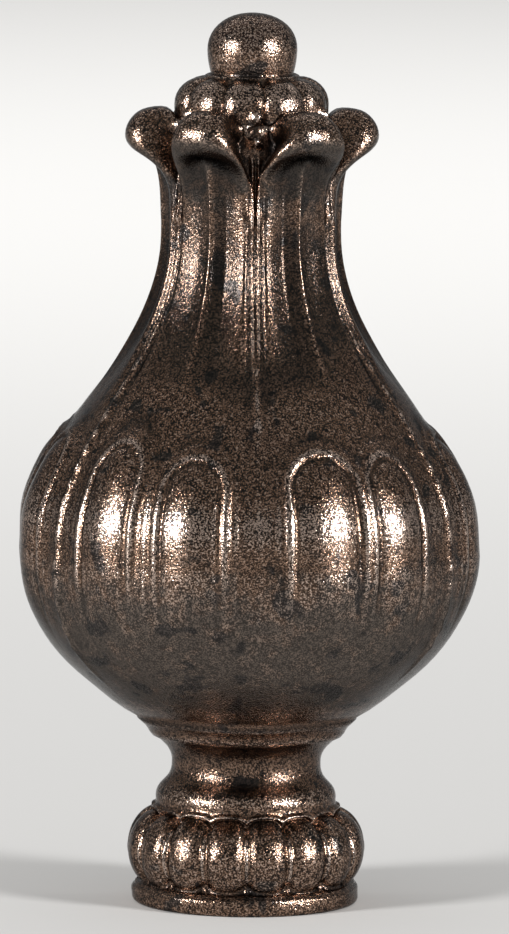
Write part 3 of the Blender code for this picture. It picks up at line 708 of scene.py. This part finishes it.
    # unevenly polished, and a fine grain in the lacquer
    polish = addNode(tree, "ShaderNodeMapRange", {}, {"Value": pattern["mottle"]}, bronze["polished"])
    relief = addNode(tree, "ShaderNodeMath", {"operation": "MULTIPLY_ADD"},
                     {0: pattern["mottle"], 2: pattern["grain"]}, {1: bronze["mottleInRelief"]})
    bump = addNode(tree, "ShaderNodeBump", {}, {"Height": relief.outputs[0]},
                   {"Strength": 1.0, "Distance": bronze["bumpHeight"] * mm})
    tree.links.new(base.outputs[2], shader.inputs["Base Color"])
    tree.links.new(polish.outputs[0], shader.inputs["Roughness"])
    tree.links.new(bump.outputs[0], shader.inputs["Normal"])
    tree.links.new(bump.outputs[0], shader.inputs["Coat Normal"])
    shader.inputs["Metallic"].default_value = 1.0
    shader.inputs["Specular Tint"].default_value = linear(bronze["edge"])
    shader.inputs["Coat Weight"].default_value = bronze["coat"]
    shader.inputs["Coat Roughness"].default_value = bronze["coatRoughness"]
    return material


print("casting: shape")
casting = makeCasting()
casting.data.materials.append(oilRubbedBronzeWithPaintedLight())
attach(casting, "root")
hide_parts("finial_casting")

studio = {
    "floor": "#cdccca", "world": "#ffffff", "worldStrength": 0.34,
    # a softbox either side of the viewer, and one behind the finial that lights the floor there
    "softboxAngle": 56, "softboxDistance": 650, "softboxWidth": 140, "softboxHeight": 170,
    "softboxMiddle": 205, "softboxPower": 5.5,
    "backPlace": (0, 430, 720), "backAim": (0, 1200, 170), "backWidth": 1300, "backHeight": 400,
    "backPower": 12,
    "floorReach": 4000, "floorRoughness": 0.9, "aimHeight": 30,
}


def makeFloor():
    # a flat sheet of matt paper, wide enough to fill the view from every side
    reach = studio["floorReach"] * mm
    corners = [(-reach, -reach, 0), (reach, -reach, 0), (reach, reach, 0), (-reach, reach, 0)]
    mesh = bpy.data.meshes.new("studioFloor")
    mesh.from_pydata(corners, [], [(0, 1, 2, 3)])
    material = bpy.data.materials.new("mattPaper")
    material.use_nodes = True
    shader = material.node_tree.nodes["Principled BSDF"]
    shader.inputs["Base Color"].default_value = linear(studio["floor"])
    shader.inputs["Roughness"].default_value = studio["floorRoughness"]
    mesh.materials.append(material)
    floor = bpy.data.objects.new("studioFloor", mesh)
    bpy.context.scene.collection.objects.link(floor)


def lookAt(thing, target, roll=0.0):
    # turned so that its -Z points at the target, then rolled about that
    way = (Vector(target) - thing.location).to_track_quat("-Z", "Y")
    thing.rotation_euler = (way @ Quaternion((0, 0, 1), math.radians(roll))).to_euler()


def addSoftbox(name, place, aim, width, tall, power):
    # an area light at a place, turned to its aim
    light = bpy.data.lights.new(name, "AREA")
    light.shape = "RECTANGLE"
    light.size, light.size_y = width * mm, tall * mm
    light.energy = power
    lamp = bpy.data.objects.new(name, light)
    lamp.location = Vector(place) * mm
    lookAt(lamp, Vector(aim) * mm)
    bpy.context.scene.collection.objects.link(lamp)


def lightStudio():
    # the softboxes stand at equal angles from the viewer's own; the room is an even pale white
    for name, side in (("softboxLeft", -1), ("softboxRight", 1)):
        turn = math.radians(side * studio["softboxAngle"] + view["azimuth"])
        distance = studio["softboxDistance"]
        addSoftbox(name, (distance * math.sin(turn), -distance * math.cos(turn), studio["softboxMiddle"]),
                   (0, 0, studio["aimHeight"]), studio["softboxWidth"], studio["softboxHeight"],
                   studio["softboxPower"])
    addSoftbox("softboxBack", studio["backPlace"], studio["backAim"], studio["backWidth"],
               studio["backHeight"], studio["backPower"])
    world = bpy.data.worlds.new("whiteRoom")
    world.use_nodes = True
    sky = world.node_tree.nodes["Background"]
    sky.inputs["Color"].default_value = linear(studio["world"])
    sky.inputs["Strength"].default_value = studio["worldStrength"]
    bpy.context.scene.world = world
    bpy.context.scene.view_settings.view_transform = "Standard"


# where the viewer stands and looks, in mm and degrees, with a long lens
view = {"azimuth": -2.8, "distance": 700, "height": 112, "aimHeight": 31.4, "aimAside": 0.4,
        "roll": 0.5, "lens": 379, "sensor": 36}


def placeCamera():
    # the photo's frame is upright, so the sensor's height is the one that counts
    lens = bpy.data.cameras.new("viewer")
    lens.sensor_fit = "VERTICAL"
    lens.sensor_height = view["sensor"]
    lens.lens = view["lens"]
    camera = bpy.data.objects.new("viewer", lens)
    turn = math.radians(view["azimuth"])
    right = Vector((math.cos(turn), math.sin(turn), 0))
    back = Vector((math.sin(turn), -math.cos(turn), 0))
    camera.location = (back * view["distance"] + Vector((0, 0, view["height"]))) * mm
    lookAt(camera, (right * view["aimAside"] + Vector((0, 0, view["aimHeight"]))) * mm, view["roll"])
    bpy.context.scene.collection.objects.link(camera)
    bpy.context.scene.camera = camera


print("studio: floor, lights and camera")
makeFloor()
lightStudio()
placeCamera()
